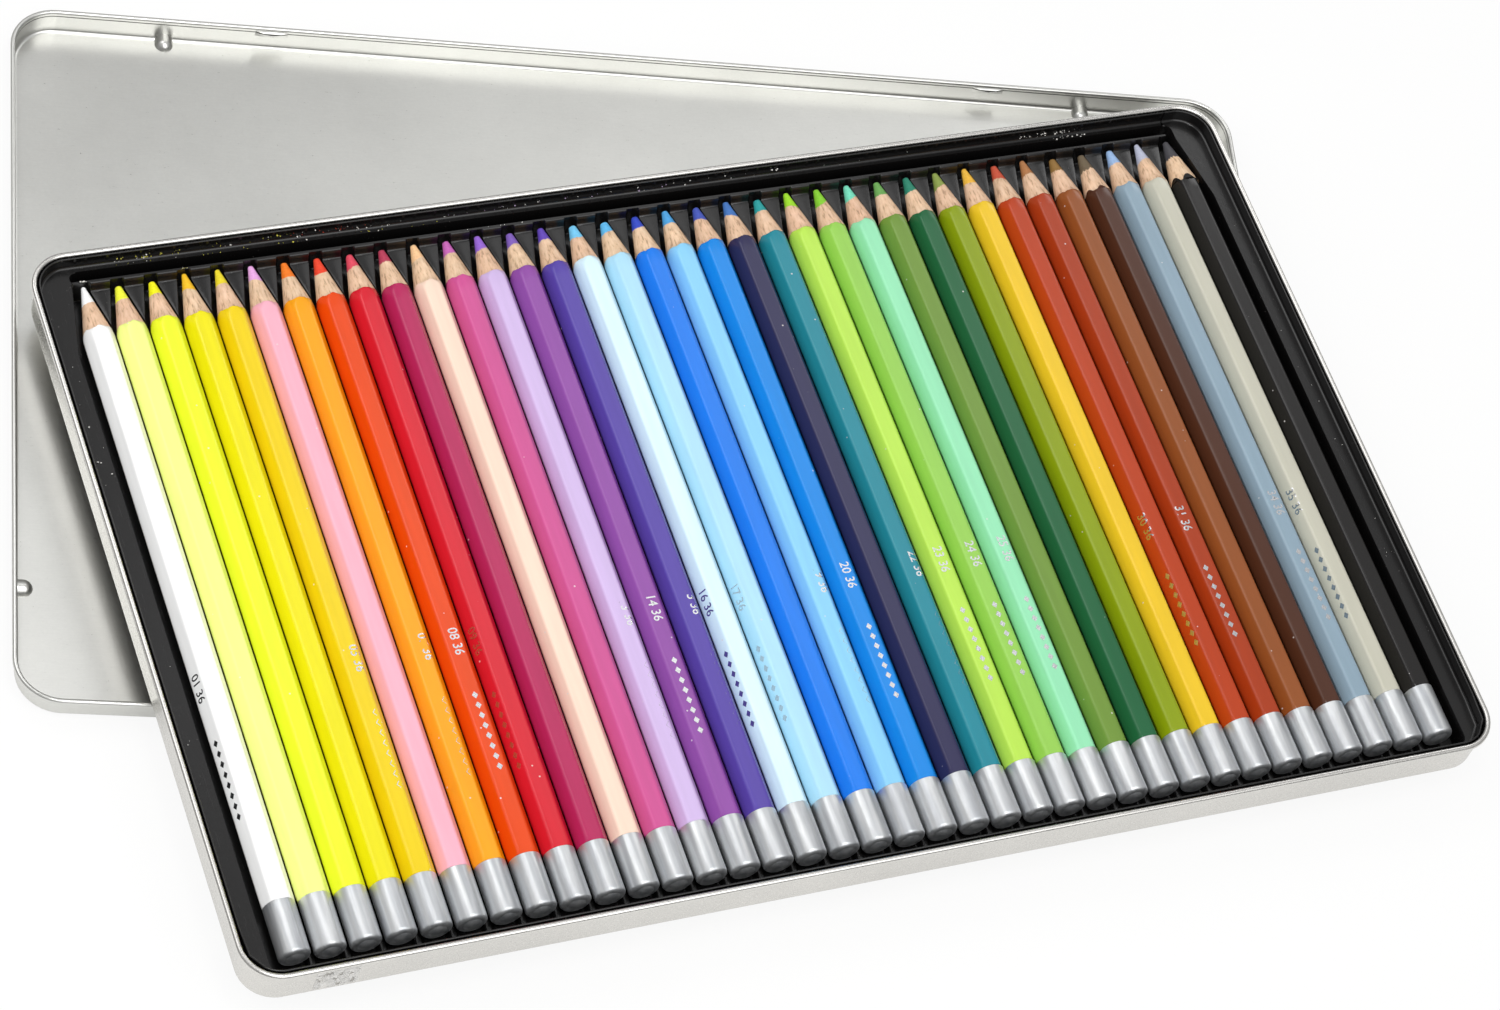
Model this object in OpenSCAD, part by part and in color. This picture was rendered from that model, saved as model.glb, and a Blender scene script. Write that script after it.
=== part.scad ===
// Flat tin of colored pencils, open: the lid lies upturned on the table and the base rests across it.
// Millimetres, Z up. The origin is the middle of the lid's outer panel, on the table.
// The base, its tray and the pencils share the tin's own frame: X along the row, Y towards the points.

/* [Pencils] */
// Length of a pencil from the end of its cap to its point
pencil_length = 175; // [140:0.5:190]
// Thickness of the barrel across two flats
barrel_flats = 6.7; // [6:0.1:8]
// Depth by which each edge of the barrel is rounded off
edge_rounding = 0.15; // [0.1:0.05:0.4]
// Thickness of the coat of lacquer on the wood
lacquer_coat = 0.12; // [0.08:0.01:0.25]
// Length of the sharpened cone, from the lacquer on a flat to the point
cone_length = 12.8; // [10:0.2:18]
// Width of the blunt end of the point
point_width = 1; // [0.6:0.1:1.6]
// Diameter of the colored core
core_diameter = 3.6; // [2.5:0.1:4.2]
// Diameter of the round cap on the blunt end
cap_diameter = 7.1; // [6.6:0.1:8]
// Length of the cap
cap_length = 13.3; // [10:0.1:22]
// Thickness of the cap's metal
cap_wall = 0.25; // [0.2:0.05:0.4]
// Radius of the rounded edge of the cap's end
cap_edge_radius = 1.4; // [1:0.1:3]

/* [Tray] */
// Thickness of the formed plastic
tray_wall = 0.5; // [0.4:0.05:0.8]
// Gap between two neighbouring pencils
pencil_gap = 0.4; // [0.3:0.05:1.5]
// Gap under a pencil in its slot
bed_gap = 0.1; // [0.05:0.05:0.3]
// Width of the flat floor of a slot
slot_floor_width = 4.8; // [3:0.1:5.2]
// Width of the top of the ridge between two slots
ridge_width = 0.8; // [0.5:0.1:1.4]
// Height of the ridges above the floor of the slots
ridge_height = 1.6; // [0.8:0.1:1.8]
// Height of the flat lands between the points, above the floor of the slots
land_height = 2.95; // [2:0.05:3.3]
// Length of the lands between the points
land_length = 11; // [8:0.1:12]
// Width of the far end of each land
land_width = 5; // [3:0.1:5.6]
// Height of the ledge round the slots, above their floor
ledge_height = 5.4; // [4:0.05:6]
// Depth of the tin's rim above that ledge
ledge_depth = 3.5; // [2.5:0.1:8]
// Width of the ledges at the two sides
side_ledge = 4.8; // [3:0.1:10]
// Width of the ledge along the front
front_ledge = 0.8; // [0.6:0.1:4]
// Width of the ledge along the back
back_ledge = 1.7; // [0.8:0.05:5]
// Spare room beside the row of pencils, half the room of both sides
side_room = 1.6; // [1:0.05:3]
// Shift of the row of pencils to the right of the tin's middle
row_shift = 0.3; // [0:0.05:0.6]
// Gap between the caps and the front of the recess
cap_room = 2.95; // [1.5:0.05:5]
// Gap between the points and the bar behind them
point_room = 0.4; // [0.4:0.05:2]
// Slope in front of that bar, measured along the pencils
bar_slope = 1.4; // [0.8:0.1:3]
// Width of the top of the bar
bar_width = 0.5; // [0.4:0.05:1.5]
// Depth of the bar's top below the ledge
bar_drop = 0.4; // [0.2:0.05:1]
// Distance from the axis of the last pencil to the right end of the bar
bar_end = 0.3; // [0:0.1:1]
// Width of the channel behind the bar
channel_width = 2.1; // [1.6:0.1:4]
// Height of the slots' floor above the floor of the channel
channel_depth = 1.8; // [1:0.05:3]
// Radius of the channel's two back corners
channel_corner = 1.5; // [0.8:0.1:1.5]
// Width of the trough in front of the caps
trough_width = 1.6; // [1:0.1:2]
// Radius of the recess's two front corners
recess_corner = 2.5; // [2:0.1:3]
// Length over which the recess narrows beside the points
taper_length = 18; // [12:0.5:24]
// Width that the recess loses on each side there
taper_width = 3.2; // [2:0.1:3.8]
// Gap between the tray and the tin's wall
tray_play = 0.35; // [0.2:0.05:0.8]
// Gap between the tray and the tin's floor
tray_lift = 0.1; // [0.05:0.05:0.3]
// Depth of the tray's edge below the top of the rim
lip_drop = 0.3; // [0.2:0.1:1]

/* [Tin] */
// Thickness of the tinplate
sheet = 0.3; // [0.24:0.02:0.4]
// Radius inside the corners of the base
corner_radius = 8; // [7:0.5:14]
// Thickness of the rolled edge of the base
base_bead = 1.4; // [1.2:0.1:2.4]
// Radius of the pressed edge round the floor of the base and of the lid
press_radius = 1.3; // [0.8:0.1:2.4]

/* [Lid] */
// Overall height of the lid
lid_height = 6.9; // [6:0.1:11]
// Thickness of the rolled edge of the lid
lid_bead = 1.2; // [1:0.1:2]
// Gap between the lid's wall and the rolled edge of the base
lid_play = 0.5; // [0.3:0.05:1]
// Width of the pressed stops that the closed base rests on
stop_width = 4.4; // [3:0.1:5]
// How far a stop reaches in from the wall
stop_reach = 4; // [3:0.1:5]
// How far a stop stands up from the lid's floor
stop_rise = 1.8; // [1.2:0.1:2]
// Distance of the long walls' stops from the middle
stop_along = 114.5; // [60:0.5:125]
// Distance of the short walls' stops from the middle
stop_across = 63; // [30:0.5:75]
// Length of the pressed catches under the rolled edge of the lid
catch_length = 8; // [5:0.5:14]
// Height of a catch, most of it below the rolled edge
catch_width = 1.8; // [1.4:0.1:2.4]
// How far a catch stands in from the wall
catch_reach = 0.7; // [0.4:0.05:1]
// Distance of the catches from the middle
catch_along = 89.2; // [40:0.2:100]

/* [Place on the table] */
// Shift of the base along the lid
base_shift_x = 17.8; // [0:0.1:25]
// Shift of the base towards the front of the lid
base_shift_y = 41.5; // [30:0.1:55]
// Turn of the base on the lid
base_turn = 14; // [0:0.5:20]
// Gap between the base and the lid's rolled edge
stack_gap = 0.05; // [0.02:0.01:0.2]

/* [Hidden] */
// Name, lacquer and core of each pencil, from the left
pencils = [
    ["white", "#f4f4f2", "#f1f1ef"],
    ["pale_lemon", "#eff38c", "#e9ee62"],
    ["lemon", "#eff23f", "#e6e81e"],
    ["yellow", "#f0e51c", "#f0b62a"],
    ["deep_yellow", "#eed50d", "#e3cf38"],
    ["pink", "#f2b3c5", "#d9a4dc"],
    ["orange", "#ee7d05", "#ef7a20"],
    ["vermilion", "#e0391b", "#e5432a"],
    ["red", "#d3202c", "#d8484f"],
    ["crimson", "#a81f3f", "#a8324f"],
    ["peach", "#f0a98c", "#eda27f"],
    ["magenta", "#c32f7c", "#b95aa6"],
    ["lilac", "#a98bc9", "#8a66b8"],
    ["purple", "#6b3c98", "#6a4aa8"],
    ["violet_blue", "#4a479f", "#5a53ad"],
    ["ice_blue", "#b7dbea", "#7ab8e0"],
    ["sky_blue", "#7cc0e6", "#5ea9dd"],
    ["royal_blue", "#2a4fae", "#3c56b4"],
    ["light_blue", "#4aa6dc", "#3f93cf"],
    ["blue", "#2259a8", "#3b4f9f"],
    ["navy", "#1d3563", "#3c608c"],
    ["teal", "#0f7c86", "#1f8a90"],
    ["apple_green", "#8cc63f", "#98cc4a"],
    ["green", "#2f9a45", "#3d9e4d"],
    ["mint", "#8fcfb4", "#7cc7a6"],
    ["olive_green", "#5f7d2b", "#5d9648"],
    ["dark_green", "#1d5a44", "#27695a"],
    ["moss", "#66702f", "#75793b"],
    ["golden_yellow", "#e3a51b", "#d9ab3a"],
    ["red_brown", "#93331d", "#b3492b"],
    ["russet", "#b04f28", "#a8703e"],
    ["brown", "#9c5f35", "#94733f"],
    ["dark_brown", "#55312a", "#5e5245"],
    ["blue_grey", "#93a9b8", "#9db3d4"],
    ["light_grey", "#cbccc1", "#b4b6c6"],
    ["black", "#2b2a2b", "#47474b"],
];
wood_color = "#e3bf91";
cap_color = "#c3c5c8";
tray_color = "#2f2d2e";
tin_color = "#d0cfca";
lid_color = "#c8c7c1";

count = len(pencils);
function digits(i) = i < 9 ? str("0", i + 1) : str(i + 1);
pencil_nodes = [for (i = [0 : count - 1]) str("pencil_", digits(i), "_", pencils[i][0])];

$fn = 96;    // true curves, drawn finely enough for a preview
over = 1;    // extra depth of a cut past the face that it opens
weld = 0.02; // overlap of what is drawn in pieces and joins to one
glue = 0.03; // film between the pieces of one pencil

// Barrel and cap
barrel_corner = barrel_flats / 2 / cos(30);
barrel_radius = barrel_corner - edge_rounding;
cap_radius = cap_diameter / 2;
pencil_width = max(2 * barrel_radius, cap_diameter);
pitch = pencil_width + pencil_gap;
row_width = count * pitch;
taper = (barrel_flats - point_width) / 2 / cone_length;
function slot_x(i) = row_shift + (i - (count - 1) / 2) * pitch;

// Heights in the tin's own frame, from the underside of its floor
tray_bottom = sheet + tray_lift;
channel_floor = tray_bottom + tray_wall;
slot_floor = channel_floor + channel_depth;
ledge = slot_floor + ledge_height;
rim = ledge + ledge_depth;
axis_height = slot_floor + bed_gap + max(cap_diameter, barrel_flats) / 2;
bar_top = ledge - bar_drop;

// The tin's inside, worked out from the row of pencils and the tray round it
wall_room = tray_play + tray_wall;
recess_x = row_width / 2 + side_room;
inner_x = recess_x + side_ledge + wall_room;
room_y = front_ledge + cap_room + pencil_length + point_room + bar_width + channel_width + back_ledge;
inner_y = room_y / 2 + wall_room;
recess_front = -inner_y + wall_room + front_ledge;
cap_end = recess_front + cap_room;
point_end = cap_end + pencil_length;
bar_front = point_end + point_room;
bar_back = bar_front + bar_width;
channel_back = bar_back + channel_width;
land_end = bar_front - bar_slope;
land_start = land_end - land_length;
back_x = recess_x - taper_width;
bar_right = slot_x(count - 1) + bar_end;
tray_radius = corner_radius - wall_room;

// The lid's inside, which goes over the base's rolled edge
lid_x = inner_x + base_bead + lid_play;
lid_y = inner_y + base_bead + lid_play;
lid_radius = corner_radius + base_bead + lid_play;
stop_radius = stop_width / 2;
stop_height = sheet + stop_rise - stop_radius; // of the axis of a stop
catch_radius = catch_width / 2;
catch_height = lid_height - lid_bead - catch_radius / 2;

// Flat rounded rectangle, from half its length and half its width
module rounded(x, y, r) {
    square([2 * x, 2 * (y - r)], center = true);
    square([2 * (x - r), 2 * y], center = true);
    for (side = [-1, 1], end = [-1, 1])
        translate([side * (x - r), end * (y - r)])
            circle(r);
}

// Takes a section round a rounded rectangle. The section's X is the distance out from that line.
module around(x, y, r) {
    for (turn = [0, 180]) rotate(turn) {
        translate([x, y - r, 0]) rotate([90, 0, 0])
            linear_extrude(2 * (y - r)) children();
        rotate(90) translate([y, x - r, 0]) rotate([90, 0, 0])
            linear_extrude(2 * (x - r)) children();
        translate([x - r, y - r, 0])
            rotate_extrude(angle = 90) translate([r, 0]) children();
        translate([-(x - r), y - r, 0]) rotate(90)
            rotate_extrude(angle = 90) translate([r, 0]) children();
    }
}

// Section of a pressed wall with its rolled edge. X is 0 at the inner face, and the floor turns in below.
module wall_section(height, bead) {
    foot = press_radius;
    bead_radius = bead / 2;
    // rolled edge
    translate([bead_radius, height - bead_radius]) difference() {
        circle(bead_radius);
        circle(bead_radius - sheet);
    }
    // wall
    translate([0, foot]) square([sheet, height - bead_radius - foot]);
    // rounded foot
    translate([sheet - foot, foot]) intersection() {
        difference() {
            circle(foot);
            circle(foot - sheet);
        }
        translate([0, -foot]) square([foot, foot]);
    }
    // start of the floor
    translate([sheet - foot - over, 0]) square([over + weld, sheet]);
}

// Pressed pan of the base or of the lid
module pan(x, y, r, height, bead) {
    inset = press_radius - sheet;
    around(x, y, r) wall_section(height, bead);
    linear_extrude(sheet) rounded(x - inset, y - inset, r - inset);
}

// Bullet shape of a pressed stop, pointing along X from the wall that it is pressed in
module stop_form(radius, reach, back) {
    nose = reach - radius;
    translate([nose, 0, 0]) sphere(radius);
    translate([-back, 0, 0]) rotate([0, 90, 0]) cylinder(h = nose + back, r = radius);
}

// Shape of a pressed catch, long across the wall and pointing along X
module catch_form(reach, back) {
    half = catch_length / 2;
    bow = (half * half + catch_reach * catch_reach) / (2 * catch_reach) - catch_reach + reach;
    intersection() {
        translate([reach - bow, 0, -catch_radius]) cylinder(h = 2 * catch_radius, r = bow);
        translate([reach - catch_radius, catch_length, 0]) rotate([90, 0, 0])
            cylinder(h = 2 * catch_length, r = catch_radius);
        translate([-back, -catch_length, -catch_radius])
            cube([back + reach, 2 * catch_length, 2 * catch_radius]);
    }
}

// Places what is pressed in the lid's long walls, pointing in, at a distance from the middle
module at_long_walls(along, height) {
    for (turn = [0, 180], side = [-1, 1])
        rotate(turn) translate([side * along, lid_y, height]) rotate(-90) children();
}

// Places what is pressed in the lid's short walls: one each, at opposite ends
module at_short_walls(across, height) {
    for (turn = [0, 180])
        rotate(turn) translate([-lid_x, -across, height]) children();
}

// Everything inside the outer faces of a pan
module pan_block(x, y, r, height) {
    foot = press_radius;
    around(x, y, r) {
        translate([sheet - foot, foot]) intersection() {
            circle(foot);
            translate([0, -foot]) square([foot, foot]);
        }
        translate([-over, foot]) square([over + sheet, height - foot]);
    }
    inset = foot - sheet - weld;
    linear_extrude(height) rounded(x - inset, y - inset, r - inset);
}

module lid_pressings(thickness, back) {
    reach = stop_reach - thickness;
    at_long_walls(stop_along, stop_height) stop_form(stop_radius - thickness, reach, back);
    at_short_walls(stop_across, stop_height) stop_form(stop_radius - thickness, reach, back);
    at_long_walls(catch_along, catch_height) catch_form(catch_reach - thickness, back);
}

module lid() {
    color(lid_color) difference() {
        union() {
            pan(lid_x, lid_y, lid_radius, lid_height, lid_bead);
            intersection() {
                lid_pressings(0, sheet / 2);
                pan_block(lid_x, lid_y, lid_radius, lid_height);
            }
        }
        lid_pressings(sheet, over);
    }
}

// Puts what is drawn in the tin's own frame where the base lies
module in_tin() {
    translate([base_shift_x, -base_shift_y, lid_height + stack_gap]) rotate(base_turn) children();
}

module tin_base() {
    color(tin_color) in_tin() pan(inner_x, inner_y, corner_radius, rim, base_bead);
}

// Outline of the recess that holds the pencils and the channel, grown outwards
module recess_plan(grow) {
    x = recess_x + grow;
    far = back_x + grow;
    front = recess_front - grow;
    back = channel_back + grow;
    corner = recess_corner + grow;
    back_corner = channel_corner + grow;
    for (side = [-1, 1]) {
        translate([side * (x - corner), front + corner]) circle(corner);
        translate([side * (far - back_corner), back - back_corner]) circle(back_corner);
    }
    polygon([
        [-x, front + corner], [corner - x, front], [x - corner, front], [x, front + corner],
        [x, land_end - taper_length], [far, land_end],
        [far, back - back_corner], [far - back_corner, back],
        [back_corner - far, back], [-far, back - back_corner],
        [-far, land_end], [-x, land_end - taper_length],
    ]);
}

// Strip across the tray between two distances along the pencils
module strip(from, to) {
    translate([-inner_x, from]) square([2 * inner_x, to - from]);
}

// Space over the slots and the ridges between them, seen along the pencils
module slot_profile() {
    half = slot_floor_width / 2;
    top = ridge_width / 2;
    floor_line = [for (i = [0 : count - 1]) let (x = slot_x(i)) each [
        if (i > 0) [x - pitch / 2 + top, slot_floor + ridge_height],
        [i > 0 ? x - half : -inner_x, slot_floor],
        [i < count - 1 ? x + half : inner_x, slot_floor],
        if (i < count - 1) [x + pitch / 2 - top, slot_floor + ridge_height],
    ]];
    polygon(concat(floor_line, [[inner_x, rim], [-inner_x, rim]]));
}

// Plan of the pocket that one cone lies in
module pocket_plan(i) {
    near = pitch / 2;
    far = (pitch - land_width) / 2;
    narrowing = (near - far) / land_length;
    end = point_end + point_room / 2;
    tip = far - narrowing * (end - land_end);
    x = slot_x(i);
    left = i == 0 ? -inner_x : x - near;
    right = i == count - 1 ? inner_x : x + near;
    polygon([
        [left, land_start - weld], [right, land_start - weld], [right, land_start],
        if (i == count - 1) [inner_x, end],
        [x + tip, end], [x - tip, end],
        if (i == 0) [-inner_x, end],
        [left, land_start],
    ]);
}

// Everything over the tray's upper face inside the recess
module recess_space() {
    top = rim - slot_floor;
    // slots
    intersection() {
        translate([0, land_start, 0]) rotate([90, 0, 0])
            linear_extrude(land_start - recess_front) slot_profile();
        linear_extrude(rim) recess_plan(0);
    }
    // pockets for the cones
    translate([0, 0, slot_floor]) linear_extrude(top) intersection() {
        for (i = [0 : count - 1]) pocket_plan(i);
        recess_plan(0);
    }
    // over the lands
    translate([0, 0, slot_floor + land_height]) linear_extrude(top) intersection() {
        strip(land_start - over, land_end);
        recess_plan(0);
    }
    // over the slope and the bar
    intersection() {
        rotate([90, 0, 90]) translate([0, 0, -inner_x]) linear_extrude(2 * inner_x) polygon([
            [land_end - over, slot_floor + land_height], [land_end, slot_floor + land_height],
            [bar_front, bar_top], [bar_back + over, bar_top],
            [bar_back + over, rim], [land_end - over, rim],
        ]);
        linear_extrude(rim) recess_plan(0);
    }
    // valley at the right end of the bar
    translate([0, 0, slot_floor]) linear_extrude(top) intersection() {
        translate([bar_right, land_end - over]) square([inner_x, bar_back - land_end + 2 * over]);
        recess_plan(0);
    }
    // channel
    translate([0, 0, channel_floor]) linear_extrude(rim) intersection() {
        strip(bar_back, channel_back);
        recess_plan(0);
    }
    // trough in front of the caps
    translate([0, 0, channel_floor]) linear_extrude(rim) intersection() {
        strip(recess_front, recess_front + trough_width);
        recess_plan(0);
    }
}

module pencil_tray() {
    lip = rim - lip_drop;
    under = slot_floor - tray_wall;
    x = inner_x - tray_play;
    y = inner_y - tray_play;
    color(tray_color) in_tin() difference() {
        union() {
            // wall and ledge
            translate([0, 0, ledge - tray_wall]) linear_extrude(lip - ledge + tray_wall)
                rounded(x, y, corner_radius - tray_play);
            // walls and floor of the recess
            translate([0, 0, under]) linear_extrude(ledge - under) recess_plan(tray_wall);
            // channel and trough, down to the tin's floor
            translate([0, 0, tray_bottom]) linear_extrude(ledge - tray_bottom) intersection() {
                recess_plan(tray_wall);
                union() {
                    strip(bar_back - tray_wall, channel_back + tray_wall);
                    strip(recess_front - tray_wall, recess_front + trough_width + tray_wall);
                }
            }
        }
        // space inside the wall
        translate([0, 0, ledge]) linear_extrude(rim) rounded(x - tray_wall, y - tray_wall, tray_radius);
        recess_space();
    }
}

// Solid of revolution that a sharpened pencil of this outer radius fits in
module sharpened(outer) {
    tip = point_width / 2;
    long = (outer - tip) / taper;
    rotate_extrude() polygon([
        [0, -over], [outer, -over], [outer, pencil_length - long], [tip, pencil_length], [0, pencil_length],
    ]);
}

// Hexagonal prism with rounded edges, between two heights
module barrel(depth, from, to) {
    translate([0, 0, from]) intersection() {
        cylinder(h = to - from, r = (barrel_flats / 2 - depth) / cos(30), $fn = 6);
        cylinder(h = to - from, r = barrel_radius - depth);
    }
}

// Section of a cap or of what fills it, with its closed end at height 0
module cap_section(radius, edge, from, to) {
    translate([0, from + edge]) square([radius, to - from - edge]);
    translate([0, from]) square([radius - edge, edge + weld]);
    translate([radius - edge, from + edge]) intersection() {
        circle(edge);
        translate([0, -edge]) square([edge, edge]);
    }
}

// One pencil: casing of wood, coat of lacquer, colored core and metal cap
module pencil(i) {
    fill_radius = cap_radius - cap_wall - glue;
    fill_edge = cap_edge_radius - cap_wall;
    core = core_diameter / 2;
    neck = fill_radius - cap_wall;
    in_tin() translate([slot_x(i), cap_end, axis_height]) rotate([-90, 0, 0]) {
        color(wood_color) difference() {
            intersection() {
                union() {
                    barrel(lacquer_coat + glue, cap_length + glue, pencil_length);
                    rotate_extrude() cap_section(fill_radius, fill_edge, cap_wall + glue, cap_length);
                    translate([0, 0, cap_edge_radius]) cylinder(h = cap_length, r = neck);
                }
                sharpened(barrel_corner);
            }
            translate([0, 0, cap_edge_radius - glue]) cylinder(h = pencil_length, r = core + glue);
        }
        color(pencils[i][1]) difference() {
            intersection() {
                barrel(0, cap_length + glue, pencil_length);
                sharpened(barrel_corner);
            }
            barrel(lacquer_coat, 0, pencil_length + over);
        }
        color(pencils[i][2]) intersection() {
            translate([0, 0, cap_edge_radius]) cylinder(h = pencil_length, r = core);
            sharpened(core + over);
        }
        color(cap_color) rotate_extrude() difference() {
            cap_section(cap_radius, cap_edge_radius, 0, cap_length);
            cap_section(cap_radius - cap_wall, fill_edge, cap_wall, cap_length + over);
        }
    }
}

lid();
tin_base();
pencil_tray();
for (i = [0 : count - 1]) pencil(i);
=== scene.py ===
import math
import random
import bpy
from mathutils import Matrix, Vector, noise


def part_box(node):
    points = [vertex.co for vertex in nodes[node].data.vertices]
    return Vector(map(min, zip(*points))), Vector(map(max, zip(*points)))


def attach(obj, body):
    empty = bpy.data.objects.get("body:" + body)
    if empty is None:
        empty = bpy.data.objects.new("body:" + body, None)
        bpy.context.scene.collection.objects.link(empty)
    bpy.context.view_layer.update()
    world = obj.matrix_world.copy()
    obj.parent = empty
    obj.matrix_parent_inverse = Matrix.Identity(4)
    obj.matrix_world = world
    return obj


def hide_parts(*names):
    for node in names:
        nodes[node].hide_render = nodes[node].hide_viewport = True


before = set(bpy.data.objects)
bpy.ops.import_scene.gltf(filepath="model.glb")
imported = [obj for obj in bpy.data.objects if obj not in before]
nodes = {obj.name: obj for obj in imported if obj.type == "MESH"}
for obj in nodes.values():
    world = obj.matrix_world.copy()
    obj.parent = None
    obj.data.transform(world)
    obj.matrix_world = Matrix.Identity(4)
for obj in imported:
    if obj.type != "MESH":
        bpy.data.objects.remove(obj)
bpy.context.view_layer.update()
mm = 0.001
print("frame loaded:", len(nodes), "nodes")


# Numbers and colours

def linearColor(hexCode):
    parts = [int(hexCode[at:at + 2], 16) / 255 for at in (1, 3, 5)]
    return [c / 12.92 if c <= 0.04045 else ((c + 0.055) / 1.055) ** 2.4 for c in parts] + [1]


def mix(a, b, share):
    return a + (b - a) * share


def easeStep(value):
    value = min(1, max(0, value))
    return value * value * (3 - 2 * value)


# Nodes of a material

def addNode(tree, kind, settings=None, inputs=None):
    node = tree.nodes.new("ShaderNode" + kind)
    for name, value in (settings or {}).items():
        setattr(node, name, value)
    for name, value in (inputs or {}).items():
        if isinstance(value, bpy.types.NodeSocket):
            tree.links.new(value, node.inputs[name])
        else:
            node.inputs[name].default_value = value
    return node


def newMaterial(name, values):
    material = bpy.data.materials.new(name)
    material.use_nodes = True
    shader = material.node_tree.nodes["Principled BSDF"]
    for socket, value in values.items():
        shader.inputs[socket].default_value = value
    return material, material.node_tree, shader


def objectPlace(tree):
    return addNode(tree, "TexCoord").outputs["Object"]


def ownPlace(tree, place):
    # the place moved by a random amount for each object, so that no two look alike
    chance = addNode(tree, "ObjectInfo").outputs["Random"]
    shift = addNode(tree, "CombineXYZ", {}, {"X": chance, "Y": chance, "Z": chance})
    moved = addNode(tree, "VectorMath", {"operation": "ADD"}, {0: place, 1: shift.outputs["Vector"]})
    return moved.outputs["Vector"], chance


def stretched(tree, place, scale, turn=0, move=(0, 0, 0)):
    return addNode(tree, "Mapping", {}, {
        "Vector": place, "Location": move, "Rotation": (0, 0, turn), "Scale": scale}).outputs["Vector"]


def noiseAt(tree, place, size, detail, roughness=0.5):
    # size in millimetres
    return addNode(tree, "TexNoise", {}, {
        "Vector": place, "Scale": 1 / (size * mm), "Detail": detail, "Roughness": roughness}).outputs["Fac"]


def gritAt(tree, place, size, near, far, most):
    # round specks, size mm apart
    cells = addNode(tree, "TexVoronoi", {}, {"Vector": place, "Scale": 1 / (size * mm)})
    return spread(tree, cells.outputs["Distance"], near, far, most, 0)


def spread(tree, value, low, high, toLow, toHigh):
    return addNode(tree, "MapRange", {}, {
        "Value": value, "From Min": low, "From Max": high,
        "To Min": toLow, "To Max": toHigh}).outputs["Result"]


def calculate(tree, operation, a, b=0):
    return addNode(tree, "Math", {"operation": operation}, {0: a, 1: b}).outputs["Value"]


def scaled(tree, color, amount):
    return addNode(tree, "VectorMath", {"operation": "SCALE"}, {0: color, "Scale": amount}).outputs["Vector"]


def mixColors(tree, share, a, b, blend="MIX"):
    return addNode(tree, "Mix", {"data_type": "RGBA", "blend_type": blend}, {
        "Factor": share, 6: a, 7: b}).outputs[2]


def ramp(tree, value, stops):
    # stops are (place, colour) pairs; a new ramp already has two
    node = addNode(tree, "ValToRGB", {}, {"Fac": value})
    elements = node.color_ramp.elements
    while len(elements) < len(stops):
        elements.new(0.5)
    for element, (place, color) in zip(elements, stops):
        element.position = place
        element.color = color
    return node.outputs["Color"]


def tinted(color, factor):
    return [min(1, c * factor) for c in color[:3]] + [1]


def bump(tree, height, depth, under=None):
    # depth in millimetres
    inputs = {"Height": height, "Distance": depth * mm, "Strength": 1}
    if under:
        inputs["Normal"] = under
    return addNode(tree, "Bump", {}, inputs).outputs["Normal"]


# Meshes, written in millimetres

def meshObject(name, points, faces, materials, faceMaterials=None, place=None, sharpAngle=35):
    mesh = bpy.data.meshes.new(name)
    mesh.from_pydata([[c * mm for c in p] for p in points], [], faces)
    for material in materials:
        mesh.materials.append(material)
    if faceMaterials:
        mesh.polygons.foreach_set("material_index", faceMaterials)
    mesh.polygons.foreach_set("use_smooth", [True] * len(mesh.polygons))
    mesh.update()
    mesh.set_sharp_from_angle(angle=math.radians(sharpAngle))
    thing = bpy.data.objects.new(name, mesh)
    bpy.context.scene.collection.objects.link(thing)
    if place:
        thing.matrix_world = place
    return thing


# Where the tin lies, read from the frame: the row of pencils gives its turn

def reach(name, axis):
    values = [v.co.dot(axis) / mm for v in nodes[name].data.vertices]
    return min(values), max(values)


pencilNodes = sorted(n for n in nodes if n.startswith("pencil_") and n[7].isdigit())
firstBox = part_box(pencilNodes[0])
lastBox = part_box(pencilNodes[-1])
rowAxis = ((lastBox[0] + lastBox[1]) - (firstBox[0] + firstBox[1])).normalized()
pointAxis = Vector((0, 0, 1)).cross(rowAxis)
tinTurn = math.atan2(rowAxis.y, rowAxis.x)
tinMiddleX = sum(reach("tin_base", rowAxis)) / 2
tinMiddleY = sum(reach("tin_base", pointAxis)) / 2
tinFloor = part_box("tin_base")[0].z
tinMiddle = (rowAxis * tinMiddleX + pointAxis * tinMiddleY) * mm + Vector((0, 0, tinFloor))
tinPlace = Matrix.Translation(tinMiddle) @ Matrix.Rotation(tinTurn, 4, "Z")
rowSpan = (lastBox[0] + lastBox[1] - firstBox[0] - firstBox[1]).length / 2 / mm
slotPitch = rowSpan / (len(pencilNodes) - 1)
capEnd = reach(pencilNodes[0], pointAxis)[0] - tinMiddleY
pencilAxisZ = (firstBox[0].z + firstBox[1].z) / 2 / mm - tinFloor / mm
rowShift = (sum(reach(pencilNodes[0], rowAxis)) + sum(reach(pencilNodes[-1], rowAxis))) / 4 - tinMiddleX
print("tin turned by", round(math.degrees(tinTurn), 2), "pitch", round(slotPitch, 3))


# Lid and base: electrolytic tinplate, pressed and rolled at the edge.
# Its satin finish comes from the ground rolls, which leave a fine grain along the sheet.

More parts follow.
